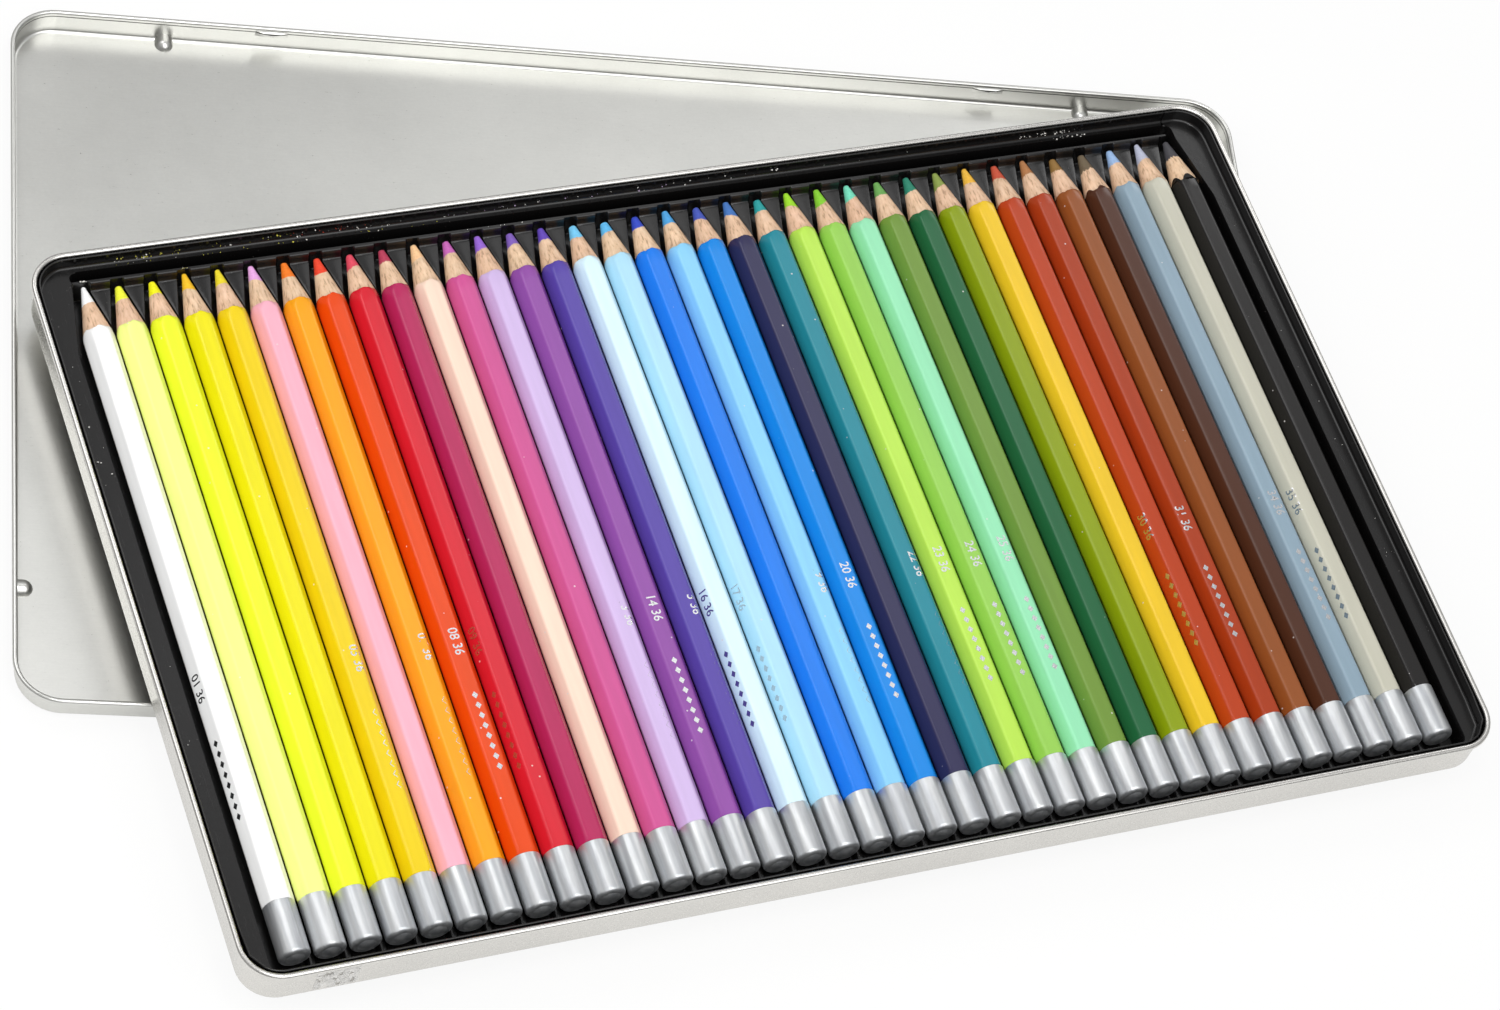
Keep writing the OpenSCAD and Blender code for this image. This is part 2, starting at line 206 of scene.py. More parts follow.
tinplate = {
    "grainWidth": 0.12,    # mm across the grain, coarser than real so that it shows
    "grainStretch": 14,    # the grain is this much longer than wide
    "grainDepth": 0.0012,  # mm
    "speckleSize": 0.35,   # mm, the crystal spangle that makes the sheet look sandy
    "waveSize": 60,        # mm, slack in the flat sheet
    "waveDepth": 0.05,     # mm
    "cloudSize": 35,       # mm, faint lighter and darker areas
    "roughness": 0.3, "smoother": 0.04,  # the base, wiped more often, is a little smoother than the lid
    "seamShadeShare": 0.12,      # share of the colour left in the painted shade band where the rolled edge meets the wall
    "lidSeam": (5.6, 0.2), "baseSeam": (16.5, 0.62),  # height of the painted shade band at the seam and half its width, mm
}


def tinplateMaterial(name, hexCode, turn, roughness, seam):
    material, tree, shader = newMaterial(name, {"Metallic": 1})
    place = objectPlace(tree)
    along = stretched(tree, place, (1 / tinplate["grainStretch"], 1, 1), -turn)
    grain = noiseAt(tree, along, 2 * tinplate["grainWidth"], 3, 0.6)
    speckle = noiseAt(tree, place, 2 * tinplate["speckleSize"], 2, 0.7)
    waves = noiseAt(tree, place, tinplate["waveSize"], 1)
    cloud = noiseAt(tree, place, tinplate["cloudSize"], 4, 0.6)
    both = addNode(tree, "Mix", {"data_type": "FLOAT"}, {"Factor": 0.5, 2: grain, 3: speckle}).outputs[0]
    base = linearColor(hexCode)
    tone = ramp(tree, both, [(0.3, tinted(base, 0.96)), (0.7, tinted(base, 1.03))])
    blotch = spread(tree, cloud, 0.3, 0.7, 0.95, 1.04)
    # painted shade: a dark band in the seam below the rolled edge, standing in for the shadow under it
    seamHeight, seamHalf = seam
    height = addNode(tree, "SeparateXYZ", {}, {"Vector": place}).outputs["Z"]
    away = calculate(tree, "ABSOLUTE", calculate(tree, "SUBTRACT", height, seamHeight * mm))
    shaded = spread(tree, away, seamHalf * 0.6 * mm, seamHalf * mm, tinplate["seamShadeShare"], 1)
    colored = scaled(tree, tone, calculate(tree, "MULTIPLY", blotch, shaded))
    tree.links.new(colored, shader.inputs["Base Color"])
    rough = spread(tree, both, 0.3, 0.7, roughness - 0.03, roughness + 0.04)
    tree.links.new(rough, shader.inputs["Roughness"])
    fine = bump(tree, both, tinplate["grainDepth"])
    tree.links.new(bump(tree, waves, tinplate["waveDepth"], fine), shader.inputs["Normal"])
    return material


def dressNode(name, material):
    mesh = nodes[name].data
    mesh.materials.clear()
    mesh.materials.append(material)


dressNode("lid", tinplateMaterial(
    "satinTinplateLid", "#dadad6", 0, tinplate["roughness"], tinplate["lidSeam"]))
dressNode("tin_base", tinplateMaterial(
    "satinTinplateBase", "#dcdad6", tinTurn, tinplate["roughness"] - tinplate["smoother"],
    tinplate["baseSeam"]))
print("tinplate done")


# Tray: rigid vinyl sheet, vacuum-formed over a mould.
# The hot sheet keeps a gloss and rounds every edge; handling leaves fine scratches and pencil dust.

tray = {
    "color": "#100f0f",
    "wall": 0.5,           # thickness of the sheet
    "cornerRadius": 7.65,
    "channelFloor": 0.9,   # heights above the underside of the tin's floor
    "slotFloor": 2.7,
    "ridgeTop": 4.3,
    "landTop": 5.65,
    "barTop": 7.7,
    "ledge": 8.1,
    "lip": 11.3,
    "outerX": 147.955, "outerY": 92.225,
    "recessX": 142.655, "recessBackX": 139.455,
    "recessFront": -90.925, "troughEnd": -89.325,
    "frontCorner": 2.5, "backCorner": 1.5,
    "landStart": 75.025, "landEnd": 86.025,
    "barFront": 87.425, "barBack": 87.925, "channelBack": 90.025,
    "barEnd": 137.74,      # right end of the bar, with a valley beside it
    "taperStart": 68.025,
    "slotFloorWidth": 4.8, "ridgeWidth": 0.8, "landWidth": 5,
    "pocketRoom": 0.35,    # how far the pocket of a point goes past the lands
    "edge": 0.34,          # half the width over which a formed wall turns over
    "fillet": 0.7,         # round foot of the wall above the ledge
}


def roundedStep(share):
    # 0 below, 1 above, with a rounded foot and a rounded shoulder and a steep wall between
    share = min(1, max(0, share))
    if share < 0.5:
        return 0.5 * (2 * share) ** 2.4
    return 1 - 0.5 * (2 - 2 * share) ** 2.4


wallShares = (0, 0.2, 0.36, 0.5, 0.64, 0.8, 1)


def trayColumns():
    # Each column is a function of y that gives x and the blend from slot floor to ridge, land or ledge
    half = slotPitch / 2
    floorHalf = tray["slotFloorWidth"] / 2
    ridgeHalf = tray["ridgeWidth"] / 2
    edge = tray["edge"]
    count = len(pencilNodes)
    landLength = tray["landEnd"] - tray["landStart"]

    def sideX(y):
        # side of the recess: straight, then narrowing beside the points, with a round corner at each end
        share = (y - tray["taperStart"]) / (tray["landEnd"] - tray["taperStart"])
        x = mix(tray["recessX"], tray["recessBackX"], min(1, max(0, share)))
        for radius, past in ((tray["frontCorner"], tray["recessFront"] + tray["frontCorner"] - y),
                             (tray["backCorner"], y - tray["channelBack"] + tray["backCorner"])):
            if past > 0:
                x -= radius - math.sqrt(max(0, radius ** 2 - min(past, radius) ** 2))
        return x

    def landHalf(y):
        share = (y - tray["landStart"]) / landLength
        return tray["landWidth"] / 2 * min(1, max(0, share))

    def besideRidge(center, side, share):
        # the wall from the floor of a slot up to the ridge, then, further back, up to the land
        def x(y):
            ridgeX = mix(half - floorHalf, ridgeHalf, share)
            landX = landHalf(y) + mix(edge, -edge * min(1, landHalf(y) / edge), share)
            turn = easeStep((y - tray["landStart"] + 0.6) / 0.9)
            return center + side * mix(ridgeX, landX, turn)
        return x

    columns = []
    for share in wallShares:
        columns.append((lambda y, s=share: -sideX(y) - edge + 2 * edge * s, 1 - share, "leftSide"))
    for i in range(count):
        middle = rowShift + (i - (count - 1) / 2) * slotPitch
        if i:
            for share in reversed(wallShares):
                columns.append((besideRidge(middle - half, 1, share), share, "ridge"))
        columns.append((lambda y, m=middle: m, 0, "floor"))
        if i < count - 1:
            for share in wallShares:
                columns.append((besideRidge(middle + half, -1, share), share, "ridge"))
            columns.append((lambda y, m=middle + half: m, 1, "ridge"))
    for share in wallShares:
        columns.append((lambda y, s=share: tray["barEnd"] + edge * s, share, "barEnd"))
    for share in wallShares:
        columns.append((lambda y, s=share: sideX(y) - edge + 2 * edge * s, share, "rightSide"))
    return columns


def trayRows():
    # distances along the pencils, close together where the section changes
    edge = tray["edge"]
    steps = [-1, -0.6, -0.3, 0, 0.3, 0.6, 1]
    rows = [tray["recessFront"] + edge * s for s in steps]
    rows += [tray["recessFront"] + tray["frontCorner"] * s for s in (0.03, 0.08, 0.22, 0.34, 0.48, 0.72, 1)]
    rows += [tray["troughEnd"] + edge * s for s in steps]
    rows += [-86, -80, -74]
    rows += [mix(-74, 66, k / 7) for k in range(1, 8)]
    rows += [tray["taperStart"] + k * 1.2 for k in range(0, 7)]
    beside = (-0.8, -0.5, -0.25, 0, 0.25, 0.5, 0.9, 1.5, 2.5, 4, 5.6, 7.4, 9, 10.4)
    rows += [tray["landStart"] + s for s in beside]
    rows += [mix(tray["landEnd"], tray["barFront"], s) for s in (-0.08, 0, 0.12, 0.3, 0.5, 0.7, 0.88)]
    rows += [tray["barFront"] + s for s in (0, 0.12, 0.25, 0.38)]
    rows += [tray["barBack"] + s for s in (0, 0.12, 0.24, 0.36, 0.5, 0.7)]
    rows += [tray["channelBack"] - tray["backCorner"] * s for s in (0.8, 0.6, 0.45)]
    rows += [tray["channelBack"] + edge * s for s in (-1.6, -1, -0.6, -0.3, 0, 0.3, 0.6, 1)]
    return sorted(set(round(r, 4) for r in rows))


def rowProfile(y):
    # how far each wall across the tray has risen at this distance along the pencils
    edge = tray["edge"]
    frontWall = roundedStep((tray["recessFront"] + edge - y) / (2 * edge))
    backWall = roundedStep((y - tray["channelBack"] + edge) / (2 * edge))
    trough = 1 - roundedStep((y - tray["troughEnd"] + edge) / (2 * edge))
    slope = roundedStep((y - tray["landEnd"]) / (tray["barFront"] - tray["landEnd"]))
    pocketEnd = tray["landEnd"] + tray["pocketRoom"]
    steep = min(1, max(0, (y - pocketEnd) / (tray["barFront"] - pocketEnd)))
    channel = roundedStep((y - tray["barBack"]) / 0.5)
    return max(frontWall, backWall), slope, steep, channel, trough


def floorHeight(slope, channel, trough):
    floor = mix(tray["slotFloor"], tray["channelFloor"], trough)
    return mix(mix(floor, tray["barTop"], slope), tray["channelFloor"], channel)


def trayHeight(y, share, kind):
    wall, slope, steep, channel, trough = rowProfile(y)
    behindPoint = floorHeight(steep, channel, trough)
    if kind == "ridge":
        toLand = roundedStep((y - tray["landStart"] + 0.6) / 0.9)
        top = mix(tray["ridgeTop"], tray["landTop"], toLand)
        top = mix(top, tray["barTop"], slope)
        top = mix(top, tray["channelFloor"], max(channel, trough))
        height = mix(behindPoint, max(top, behindPoint), roundedStep(share))
    elif kind == "leftSide":
        height = mix(floorHeight(slope, channel, trough), tray["ledge"], roundedStep(share))
    elif kind == "barEnd":
        height = mix(behindPoint, floorHeight(0, channel, trough), roundedStep(share))
    elif kind == "rightSide":
        height = mix(floorHeight(0, channel, trough), tray["ledge"], roundedStep(share))
    else:
        height = behindPoint
    return mix(height, tray["ledge"], wall)


def onOutline(point, onSide, endY, x, y, radius):
    # the place on the tray's rounded rectangle that a point of the recess's edge is joined with
    px, py = point
    middleX, middleY = x - radius, y - radius
    if not onSide:
        return math.copysign(min(abs(px), middleX), px), math.copysign(y, py)
    turn = math.radians(90) * min(1, max(0, (abs(py) - middleY) / (abs(endY) - middleY)))
    along = min(abs(py), middleY) + radius * math.sin(turn)
    return math.copysign(middleX + radius * math.cos(turn), px), math.copysign(along, py)


def buildTray(material):
    columns = trayColumns()
    rows = trayRows()
    wide, deep = len(columns), len(rows)
    points, faces = [], []
    for y in rows:
        for x, share, kind in columns:
            points.append((x(y), y, trayHeight(y, share, kind)))
    for r in range(deep - 1):
        for c in range(wide - 1):
            at = r * wide + c
            faces.append((at, at + 1, at + wide + 1, at + wide))

    # the edge of that grid, anticlockwise, then the ledge and the wall round it
    edgeLoop = [c for c in range(wide)]
    edgeLoop += [r * wide + wide - 1 for r in range(1, deep)]
    edgeLoop += [(deep - 1) * wide + c for c in range(wide - 2, -1, -1)]
    edgeLoop += [r * wide for r in range(deep - 2, 0, -1)]
    x, y = tray["outerX"] - tray["wall"], tray["outerY"] - tray["wall"]
    radius = tray["cornerRadius"] - tray["wall"]
    fillet, ledge, lip = tray["fillet"], tray["ledge"], tray["lip"]
    loops = []
    for k in range(5):
        angle = math.radians(90 * k / 4)
        loops.append((-fillet + fillet * math.sin(angle), ledge + fillet - fillet * math.cos(angle)))
    loops += [(0.02, lip - 0.2), (0.1, lip - 0.05), (0.25, lip), (0.4, lip - 0.05), (0.5, lip - 0.2)]
    loops += [(0.5, ledge + 0.2), (0.42, ledge - tray["wall"] + 0.08), (0.25, ledge - tray["wall"])]
    previous = edgeLoop
    for out, z in loops:
        ring = []
        for index in edgeLoop:
            onSide = 0 < index // wide < deep - 1
            endY = rows[0] if points[index][1] < 0 else rows[-1]
            px, py = onOutline(points[index][:2], onSide, endY, x + out, y + out, radius + out)
            ring.append(len(points))
            points.append((px, py, z))
        for k in range(len(ring)):
            n = (k + 1) % len(ring)
            faces.append((previous[k], previous[n], ring[n], ring[k]))
        previous = ring

    # underside: the recess seen from below, one wall thickness out
    under = []
    wall = tray["wall"]
    for y in rows:
        wallRise, slope, steep, channel, trough = rowProfile(y)
        for xOf, share, kind in columns:
            outward = kind in ("leftSide", "rightSide")
            rise = max(wallRise, roundedStep(share) if outward else 0)
            z = mix(floorHeight(0, channel, trough), tray["ledge"], rise) - wall
            px = xOf(y)
            if outward:
                px += math.copysign(wall, px)
            py = y
            if y < tray["troughEnd"] - tray["edge"] * 1.01:
                py = y - wall
            if y > tray["channelBack"] - tray["edge"] * 1.61:
                py = y + wall
            under.append(len(points))
            points.append((px, py, z))
    for r in range(deep - 1):
        for c in range(wide - 1):
            at = r * wide + c
            faces.append((under[at + wide], under[at + wide + 1], under[at + 1], under[at]))
    underLoop = [under[index] for index in edgeLoop]
    for k in range(len(previous)):
        n = (k + 1) % len(previous)
        faces.append((previous[k], previous[n], underLoop[n], underLoop[k]))
    placed = [tinPlace @ (Vector(p) * mm) / mm for p in points]
    thing = meshObject("formed_tray", placed, faces, [material], sharpAngle=60)
    flatFacesLead = thing.modifiers.new("flatFacesLead", "WEIGHTED_NORMAL")
    flatFacesLead.keep_sharp = True
    flatFacesLead.weight = 90
    return thing


def rigidVinylMaterial():
    material, tree, shader = newMaterial("vacuumFormedRigidVinyl", {"IOR": 1.53})
    place = objectPlace(tree)
    # the sheet's own slight orange peel
    peel = noiseAt(tree, place, 1.6, 2)
    # scuffs from pencils slid along the slots
    along = addNode(tree, "Mapping", {"vector_type": "TEXTURE"}, {
        "Vector": place, "Rotation": (0, 0, tinTurn), "Scale": (1, 25, 1)})
    scuff = noiseAt(tree, along.outputs["Vector"], 0.3, 3, 0.7)
    tree.links.new(spread(tree, scuff, 0.58, 0.75, 0.2, 0.36), shader.inputs["Roughness"])
    # dust that has settled, a little more in some places than in others
    where = spread(tree, noiseAt(tree, place, 9, 3), 0.56, 0.72, 0, 0.75)
    amount = calculate(tree, "MULTIPLY", gritAt(tree, place, 1.1, 0.05, 0.09, 1), where)
    color = mixColors(tree, amount, linearColor(tray["color"]), linearColor("#b5b0ad"))
    tree.links.new(color, shader.inputs["Base Color"])
    tree.links.new(bump(tree, amount, 0.05, bump(tree, peel, 0.012)), shader.inputs["Normal"])
    return material


# Dust: crumbs of chalk and wax that fell in the tray, as real grains where most of it lies

dust = {
    # middle x and y in the tin's frame, spread along x and y, lowest and highest z, number of grains
    # and the colour that most of them have
    "patches": [
        (-137.4, 89.2, 1.3, 0.7, 1.0, 1.6, 22, 0), (-136.9, 87.66, 1.0, 0.2, 7.7, 7.72, 8, 0),
        (-121, 91.5, 8, 0.1, 8.4, 9.8, 26, 1), (-113, 87.66, 0.7, 0.15, 7.7, 7.72, 6, 1),
        (-96, 91.5, 12, 0.1, 8.6, 10.4, 16, 1), (-78, 91.5, 9, 0.1, 8.6, 10.4, 22, 2),
        (-60, 91.4, 16, 0.2, 8.3, 9.6, 12, 0), (-38, 87.66, 8, 0.15, 7.7, 7.72, 5, 0),
        (-20, 91.5, 30, 0.1, 8.5, 10, 20, 3), (20, 91.5, 60, 0.1, 8.5, 10.2, 22, 0),
        (106, 91.5, 7, 0.1, 8.7, 10.1, 26, 0), (112, 90.8, 5, 0.5, 8.12, 8.14, 12, 0),
        (0, 89, 132, 0.8, 0.92, 0.95, 60, 0), (-90, 90.6, 40, 0.3, 8.12, 8.13, 26, 1),
        (-145, 20, 1.3, 60, 8.12, 8.13, 12, 0), (145, 0, 1.3, 60, 8.12, 8.13, 10, 0),
    ],
    "smallest": 0.09, "largest": 0.34,
    "colors": ["#f1efea", "#d9d152", "#a8341e", "#b9a3c4"],
}


def buildDust():
    draw = random.Random(77)
    points, faces, which = [], [], []
    for middleX, middleY, spreadX, spreadY, low, high, count, color in dust["patches"]:
        for _ in range(count):
            size = mix(dust["smallest"], dust["largest"], draw.random() ** 2)
            center = Vector((middleX + spreadX * draw.uniform(-1, 1), middleY + spreadY * draw.uniform(-1, 1),
                             draw.uniform(low, high) + size * 0.4))
            spots = [(1, 0, 0), (0, 1, 0), (-1, 0, 0), (0, -1, 0), (0, 0, 1), (0, 0, -1)]
            start = len(points)
            for spot in spots:
                grain = center + Vector(spot) * size * draw.uniform(0.55, 1)
                points.append(tinPlace @ (grain * mm) / mm)
            for k in range(4):
                faces.append((start + k, start + (k + 1) % 4, start + 4))
                faces.append((start + (k + 1) % 4, start + k, start + 5))
            which.extend([color if draw.random() < 0.7 else 0] * 8)
    # wax crumbs are dull, and so are the chalky ones
    crumbs = [newMaterial("waxCrumb" + str(k), {"Base Color": linearColor(hexCode), "Roughness": 0.8})[0]
              for k, hexCode in enumerate(dust["colors"])]
    return meshObject("tray_dust", points, faces, crumbs, which)


formedTray = buildTray(rigidVinylMaterial())
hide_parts("pencil_tray")
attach(formedTray, "tray")
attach(buildDust(), "tray")
print("tray done:", len(formedTray.data.polygons), "faces")


# Remnant of clear tape on the front wall of the base: crumpled, so that its facets catch the light

tape = {
    "from": -134, "to": -124.2, "low": 1.5, "high": 9.6,
    "wallY": -92.875,      # outer face of the wall
    "gap": 0.03, "lift": 0.8,  # mm off the wall where it sticks, and the most that a crumple adds
    "columns": 22, "rows": 14,
    "torn": 0.32,          # noise above which a bit of it is gone
}


def buildTape():
    points, faces = [], []
    columns, rows = tape["columns"], tape["rows"]
    for r in range(rows + 1):
        for c in range(columns + 1):
            ragged = noise.noise(Vector((c * 0.45, r * 0.8, 2.2))) * 0.9
            x = mix(tape["from"], tape["to"], c / columns) + (ragged if c in (0, columns) else 0)
            z = mix(tape["low"], tape["high"], r / rows) + (ragged * 0.7 if r == 0 else 0)
            fold = abs(noise.noise(Vector((x * 0.75, z * 0.6 + x * 0.3, 7.7)))) * 1.6
            edge = min(1, c / 2, (columns - c) / 2, r / 2)
            y = tape["wallY"] - tape["gap"] - tape["lift"] * min(1, fold) * edge
            points.append(tinPlace @ (Vector((x, y, z)) * mm) / mm)
    for r in range(rows):
        for c in range(columns):
            at = r * (columns + 1) + c
            if noise.noise(Vector((c * 0.3, r * 0.42, 9.1))) < tape["torn"]:
                faces.append((at, at + 1, at + columns + 2, at + columns + 1))
    # polypropylene film over glue: clear, but so crumpled that it looks milky, with a sharp gloss
    material, tree, shader = newMaterial("crumpledClearTape", {
        "Base Color": linearColor("#f4f3f1"), "Roughness": 0.18, "IOR": 1.5, "Alpha": 0.6})
    return meshObject("tape_remnant", points, faces, [material], sharpAngle=18)


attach(buildTape(), "tin")
print("tape done")


# Pencils: cedar cased in nitrocellulose lacquer, an oil-bound core and a drawn aluminium cap

pencil = {
    "length": 175,
    "flats": 6.7,          # across two flats
    "cornerRadius": 0.95,  # of the rounded edges
    "capRadius": 3.55, "capLength": 13.3, "capEdge": 1.4,
    "capBulge": 0.55,      # how far the end stands out past the start of its rounded edge
    "tipDome": 0.28,       # height of the blunt end of the point
    "pointRadius": 0.5,
    "coneLength": 12.8,
    "coreRadius": 1.75,
    "perFlat": 7, "perCorner": 9,
    # mm by which lacquer and wood end lower than on the others
    "lowerCuts": {33: 0.9, 34: 0.5, 35: 0.4, 36: 1.2},
}

# lacquer and core of each pencil, the face of its foil print (0 is the top one, -1 the left flank, 3 the
# underside) with the print's shift across it, the worn length of the point in mm and how torn the wood is
pencilLooks = [
    ("#fafaf9", "#fbfbfa", (-1, 0), 0, 0.3),
    ("#eff88c", "#eef43a", (3, 0), 1.15, 0.5),
    ("#e9f22a", "#eeea10", (3, 0), 1.1, 0.4),
    ("#e9de0a", "#f5bd22", (3, 0), 0, 0.5),
    ("#eacb0a", "#e6d22a", (0, 1.3), 0.2, 0.4),
    ("#f2aebf", "#e3a5dd", (3, 0), 0.5, 0.3),
    ("#f2a008", "#ef7a20", (0, 1.4), 0.9, 0.4),
    ("#e04603", "#e8452a", (0, 0.5), 0.9, 0.4),
    ("#d01a2c", "#d8485c", (-1, 0.4), 1.1, 0.5),
    ("#b02358", "#b03a55", (3, 0), 1.0, 0.6),
    ("#f3d6c2", "#f0c392", (3, 0), 0.8, 0.5),
    ("#c8508f", "#c062b0", (3, 0), 1.1, 0.5),
    ("#ccb4e0", "#9263cc", (0, 1.6), 0.8, 0.4),
    ("#8c4a9f", "#7d5cb4", (0, 0.2), 1.3, 0.5),
    ("#5442a0", "#6044b0", (0, 1.7), 1.0, 0.6),
    ("#d6f0fb", "#73c3ea", (-1, 0.3), 1.65, 0.4),
    ("#abdaf0", "#5db4e6", (-1, 0.2), 1.95, 0.4),
    ("#0e78e4", "#3247bc", (3, 0), 1.5, 0.4),
    ("#88cbf0", "#4c9ed8", (0, 1.5), 0.9, 0.4),
    ("#0484dc", "#4455b0", (0, 0.3), 1.25, 0.7),
    ("#2a284e", "#4473b8", (3, 0), 0.75, 0.5),
    ("#1e8494", "#2a9a9a", (0, 1.6), 1.4, 0.5),
    ("#b6e052", "#9ad62a", (0, 0), 0.5, 0.4),
    ("#94ca54", "#84c832", (0, 0.2), 0.7, 0.5),
    ("#94e0b2", "#74d8b8", (0, 0.4), 0.7, 0.4),
    ("#6e9038", "#6aa254", (3, 0), 1.0, 0.7),
    ("#1a5f38", "#2c8068", (3, 0), 0.8, 0.5),
    ("#889a04", "#87984a", (3, 0), 0.6, 0.5),
    ("#e8c024", "#e8b440", (3, 0), 0.5, 0.4),
    ("#b23c10", "#c05038", (-1, 0.9), 0.9, 0.5),
    ("#a4380f", "#ab7448", (0, -0.6), 0.5, 0.6),
    ("#8f4e22", "#8c6a38", (3, 0), 1.35, 0.6),
    ("#4a2818", "#6a5c48", (3, 0), 1.25, 0.9),
    ("#8ba1b0", "#96b4dc", (0, 0.3), 1.05, 0.5),
    ("#c2c0b0", "#b4b8cc", (-1, 0.9), 0.25, 0.5),
    ("#161413", "#48474b", (3, 0), 0.7, 1.0),
]


def barrelOutline():
    # polar angle and radius of points round a hexagon with rounded edges, one flat up
    flat = pencil["flats"] / 2
    radius = pencil["cornerRadius"]
    center = (flat - radius) / math.cos(math.radians(30))
    halfFlat = (flat - radius) * math.tan(math.radians(30))
    outline = []
    for side in range(6):
        normal = math.radians(60 * side - 30)
        for k in range(pencil["perFlat"]):
            along = mix(-halfFlat, halfFlat, (k + 0.5) / pencil["perFlat"])
            outline.append((normal + math.atan2(along, flat), math.hypot(along, flat)))
        corner = normal + math.radians(30)
        for k in range(pencil["perCorner"]):
            turn = math.radians(mix(-30, 30, k / (pencil["perCorner"] - 1)))
            x = center + radius * math.cos(turn)
            y = radius * math.sin(turn)
            outline.append((corner + math.atan2(y, x), math.hypot(x, y)))
    return outline


outline = barrelOutline()


def buildPencil(number, look, materials):
    lacquer, core, face, worn, torn = look
    draw = random.Random(4100 + number)
    taper = (pencil["flats"] / 2 - pencil["pointRadius"]) / pencil["coneLength"]
    length = pencil["length"]
    capR, capL, edge = pencil["capRadius"], pencil["capLength"], pencil["capEdge"]
    angles = [a for a, r in outline]
    hexagon = [r for a, r in outline]
    count = len(outline)

    def coneRadius(a):
        return pencil["pointRadius"] + (length - a) * taper

    # where the lacquer and the wood end, different at each angle
    slantAt, slant = draw.uniform(0, 6.28), draw.uniform(0.05, 0.35)
    coreAt, coreSlant = draw.uniform(0, 6.28), draw.uniform(0.1, 0.55)
    pairAt, pair = draw.uniform(0, 6.28), draw.uniform(0.05, 0.3)
    seed = Vector((number * 3.7, 11.3, 5.1))
    lower = pencil["lowerCuts"].get(number, 0)
    lacquerEnd, woodEnd = [], []
    for angle, radius in outline:
        ring = Vector((math.cos(angle), math.sin(angle), 0))
        fine = noise.noise(ring * 7 + seed) * 0.26 + noise.noise(ring * 17 + seed) * 0.2
        plain = length - (radius - pencil["pointRadius"]) / taper
        level = length - (pencil["flats"] / 2 + 0.1 - pencil["pointRadius"]) / taper
        lacquerEnd.append(mix(plain, level, 0.85) + 0.45 - lower + fine * 0.6
                          + slant * math.cos(angle - slantAt))
        rough = noise.noise(ring * 4 - seed) * 0.55 + noise.noise(ring * 11 - seed) * 0.5 * torn
        base = length - (pencil["coreRadius"] - pencil["pointRadius"]) / taper
        woodEnd.append(base + 0.25 - lower + rough * torn + coreSlant * math.cos(angle - coreAt)
                       + pair * math.cos(2 * angle - pairAt))

    rings = []

    def addRing(places, radii, material):
        rings.append(([(radii[k] * math.cos(angles[k]), places[k], radii[k] * math.sin(angles[k]))
                       for k in range(count)], material))

    def evenRing(place, radius, material):
        addRing([place] * count, [radius] * count, material)

    # cap: a slightly bulging and dented end, a rounded edge and a plain tube
    def dent(angle, radius):
        point = Vector((radius * math.cos(angle), radius * math.sin(angle), 0))
        return noise.noise(point * 0.9 + seed) * 0.16 + noise.noise(point * 2.2 - seed) * 0.07
    endRadius, bulge = capR - edge, pencil["capBulge"]
    for share in (0.16, 0.38, 0.58, 0.78, 0.92):
        addRing([0.02 + bulge * share ** 2 + dent(a, share * endRadius) * 0.5 * share for a in angles],
                [share * endRadius] * count, 3)
    for k in range(8):
        turn = math.radians(90 * k / 7)
        radius = endRadius + edge * math.sin(turn)
        sunk = 1 - k / 7
        rounded = edge - edge * math.cos(turn)
        addRing([rounded + sunk * (bulge + 0.02 + dent(a, radius) * 0.5) for a in angles],
                [radius - 0.03 * sunk] * count, 3)
    evenRing(5, capR, 3)
    evenRing(9, capR, 3)
    evenRing(capL - 0.14, capR, 3)
    evenRing(capL - 0.03, capR - 0.03, 3)
    addRing([capL] * count, [min(r, capR) - 0.1 for r in hexagon], 0)
    addRing([capL + 0.04] * count, [min(r, capR + 0.02) for r in hexagon], 0)
    addRing([capL + 0.35] * count, [mix(min(r, capR + 0.05), r, 0.55) for r in hexagon], 0)
    addRing([capL + 1.1] * count, hexagon, 0)
    for place in (30, 70, 110, 150, 158):
        addRing([place] * count, hexagon, 0)

    # cone: lacquer, wood and core
    plainEnd = [length - (r - pencil["pointRadius"]) / taper for r in hexagon]
    addRing([e - 0.05 for e in plainEnd], [r - 0.004 for r in hexagon], 0)
    addRing([e + 0.12 for e in plainEnd], [coneRadius(e + 0.12) - 0.01 for e in plainEnd], 0)
    addRing(lacquerEnd, [coneRadius(e) for e in lacquerEnd], 1)
    addRing([e + 0.05 for e in lacquerEnd], [coneRadius(e) - 0.05 for e in lacquerEnd], 1)
    for share in (0.2, 0.4, 0.6, 0.8):
        places = [mix(a, b, share) for a, b in zip(lacquerEnd, woodEnd)]
        addRing(places, [coneRadius(a) - 0.04 for a in places], 1)
    addRing(woodEnd, [coneRadius(a) - 0.03 for a in woodEnd], 2)
    addRing([a + 0.06 for a in woodEnd], [coneRadius(a) - 0.05 for a in woodEnd], 2)
    dome = pencil["tipDome"]
    shoulder = length - worn - dome
    for share in (0.3, 0.6, 0.85, 1):
        places = [mix(a, shoulder, share) for a in woodEnd]
        wobble = [noise.noise(Vector((math.cos(t) * 2, math.sin(t) * 2, share * 5)) + seed) * 0.05 * share
                  for t in angles]
        addRing(places, [coneRadius(a) - 0.04 + w for a, w in zip(places, wobble)], 2)
    blunt = coneRadius(shoulder) - 0.04
    lean = draw.uniform(0, 6.28)
    for turn in (30, 58, 78):
        share = math.sin(math.radians(turn))
        radius = blunt * math.cos(math.radians(turn))
        addRing([shoulder + dome * share * (0.8 + 0.2 * math.cos(t - lean)) for t in angles],
                [radius] * count, 2)

